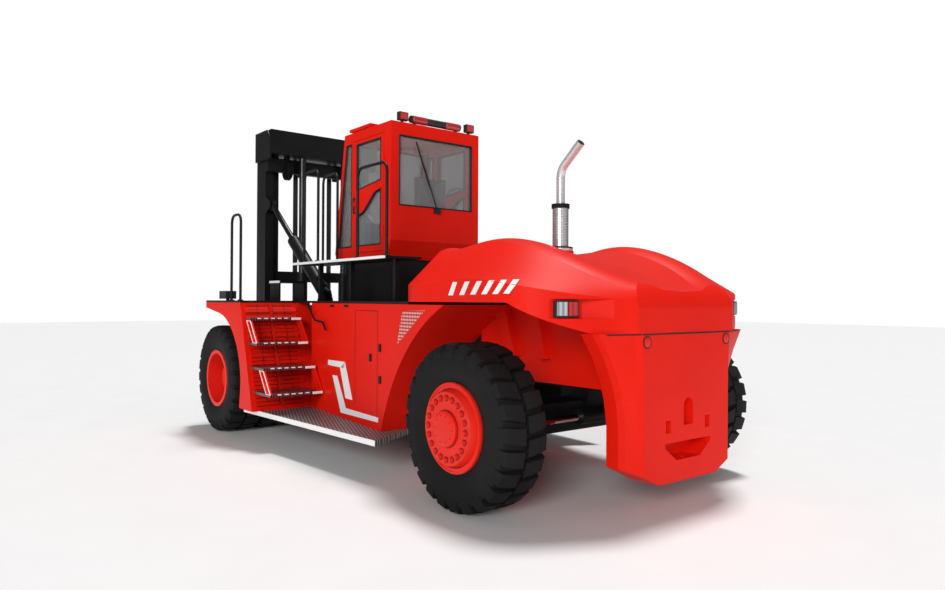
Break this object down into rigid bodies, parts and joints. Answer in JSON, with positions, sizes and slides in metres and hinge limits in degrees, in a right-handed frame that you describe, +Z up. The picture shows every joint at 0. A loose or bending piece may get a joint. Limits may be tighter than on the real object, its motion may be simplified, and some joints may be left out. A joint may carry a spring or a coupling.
{
  "type": "diesel forklift truck",
  "caption": "Heavy counterbalanced diesel forklift with twin drive wheels, steered rear wheels, raised cab and a tilting two-stage mast.",
  "frame": {"origin": "on the ground, under the middle of the machine's length and width, forks lowered", "axes": "+X forward to the fork tips, +Y to the driver's left, +Z up"},
  "size_m": [10.81, 4.22, 4.84],
  "materials": {
    "red": "gloss",
    "rim_red": "satin",
    "black": "satin",
    "fork_steel": "matte",
    "rod_chrome": "polished",
    "tread_rubber": "matte",
    "white": "satin",
    "checker": "satin",
    "glass": "clear",
    "lamp": "gloss",
    "trim": "matte"
  },
  "bodies": {
    "chassis": {"arch_liners": "red", "cab_floor": "red", "cab_front_wall": "red", "cab_glass": "glass", "cab_left_wall": "red", "cab_pedestal": "black", "cab_rear_wall": "red", "cab_right_wall": "red", "cab_roof": "red", "catwalks": "white", "control_console": "trim", "counterweight": "red", "deck": "black", "engine_block": "black", "entry_steps": "red", "exhaust_stack": "rod_chrome", "front_axle": "black", "front_fenders": "red", "front_lamps": "lamp", "handrails": "black", "hood": "red", "main_frame": "black", "rear_lamps": "lamp", "roof_lamps": "lamp", "running_boards": "checker", "seat": "trim", "side_bodies": "red", "steer_axle": "black", "step_frames": "white", "tilt_brackets": "black"},
    "front_wheels_left": {"front_tyres_left": "tread_rubber", "front_rims_left": "rim_red"},
    "front_wheels_right": {"front_tyres_right": "tread_rubber", "front_rims_right": "rim_red"},
    "knuckle_left": {"knuckle_left": "black"},
    "knuckle_right": {"knuckle_right": "black"},
    "rear_wheel_left": {"rear_tyre_left": "tread_rubber", "rear_rim_left": "rim_red"},
    "rear_wheel_right": {"rear_tyre_right": "tread_rubber", "rear_rim_right": "rim_red"},
    "steer_rod": {"steer_rod": "rod_chrome"},
    "mast_outer": {"mast_outer": "black", "lift_barrels": "black"},
    "mast_inner": {"mast_inner": "black", "lift_rods": "rod_chrome", "lift_chains": "fork_steel"},
    "fork_carriage": {"fork_carriage": "black", "fork_left": "fork_steel", "fork_right": "fork_steel"},
    "tilt_barrels": {"tilt_barrels": "black"},
    "tilt_rods": {"tilt_rods": "rod_chrome"},
    "cab_door_left": {"cab_door_left": "red", "cab_door_glass_left": "glass"},
    "cab_door_right": {"cab_door_right": "red", "cab_door_glass_right": "glass"}
  },
  "joints": [
    {"name": "drive_wheels_left", "type": "hinge", "parent": "chassis", "child": "front_wheels_left", "pos_m": [1.495, 1.85, 0.8], "axis": [0, 1, 0], "continuous": true},
    {"name": "drive_wheels_right", "type": "hinge", "parent": "chassis", "child": "front_wheels_right", "pos_m": [1.495, -1.85, 0.8], "axis": [0, 1, 0], "continuous": true},
    {"name": "steer_left", "type": "hinge", "parent": "chassis", "child": "knuckle_left", "pos_m": [-4.125, 1.2, 0.8], "axis": [0, 0, 1], "range_deg": [-50, 50]},
    {"name": "steer_right", "type": "hinge", "parent": "chassis", "child": "knuckle_right", "pos_m": [-4.125, -1.2, 0.8], "axis": [0, 0, 1], "range_deg": [-50, 50]},
    {"name": "steer_rod_slide", "type": "slide", "parent": "chassis", "child": "steer_rod", "axis": [0, 1, 0], "range_m": [-0.19, 0.19]},
    {"name": "rear_wheel_left", "type": "hinge", "parent": "knuckle_left", "child": "rear_wheel_left", "pos_m": [-4.125, 1.63, 0.8], "axis": [0, 1, 0], "continuous": true},
    {"name": "rear_wheel_right", "type": "hinge", "parent": "knuckle_right", "child": "rear_wheel_right", "pos_m": [-4.125, -1.63, 0.8], "axis": [0, 1, 0], "continuous": true},
    {"name": "mast_tilt", "type": "hinge", "parent": "chassis", "child": "mast_outer", "pos_m": [2.125, 0, 0.7], "axis": [0, 1, 0], "range_deg": [-10, 5]},
    {"name": "mast_lift", "type": "slide", "parent": "mast_outer", "child": "mast_inner", "axis": [0, 0, 1], "range_m": [0, 2]},
    {"name": "carriage_lift", "type": "slide", "parent": "mast_inner", "child": "fork_carriage", "axis": [0, 0, 1], "range_m": [0, 2]},
    {"name": "tilt_barrel_pivot", "type": "hinge", "parent": "chassis", "child": "tilt_barrels", "pos_m": [0.275, 0, 2.075], "axis": [0, 1, 0], "range_deg": [-8.5, 4.5]},
    {"name": "tilt_rod_slide", "type": "slide", "parent": "tilt_barrels", "child": "tilt_rods", "axis": [0.7846, 0, 0.62], "range_m": [-0.4, 0.21]},
    {"name": "door_left", "type": "hinge", "parent": "chassis", "child": "cab_door_left", "pos_m": [-1.095, 0.763, 3.46], "axis": [0, 0, 1], "range_deg": [0, 90]},
    {"name": "door_right", "type": "hinge", "parent": "chassis", "child": "cab_door_right", "pos_m": [-1.095, -0.763, 3.46], "axis": [0, 0, -1], "range_deg": [0, 90]}
  ],
  "couplings": [
    {"joint": "steer_right", "follows": "steer_left", "ratio": 1},
    {"joint": "steer_rod_slide", "follows": "steer_left", "m_per_rad": -0.2107},
    {"joint": "carriage_lift", "follows": "mast_lift", "ratio": 1},
    {"joint": "tilt_barrel_pivot", "follows": "mast_tilt", "ratio": 0.7785},
    {"joint": "tilt_rod_slide", "follows": "mast_tilt", "m_per_rad": 2.2441}
  ]
}
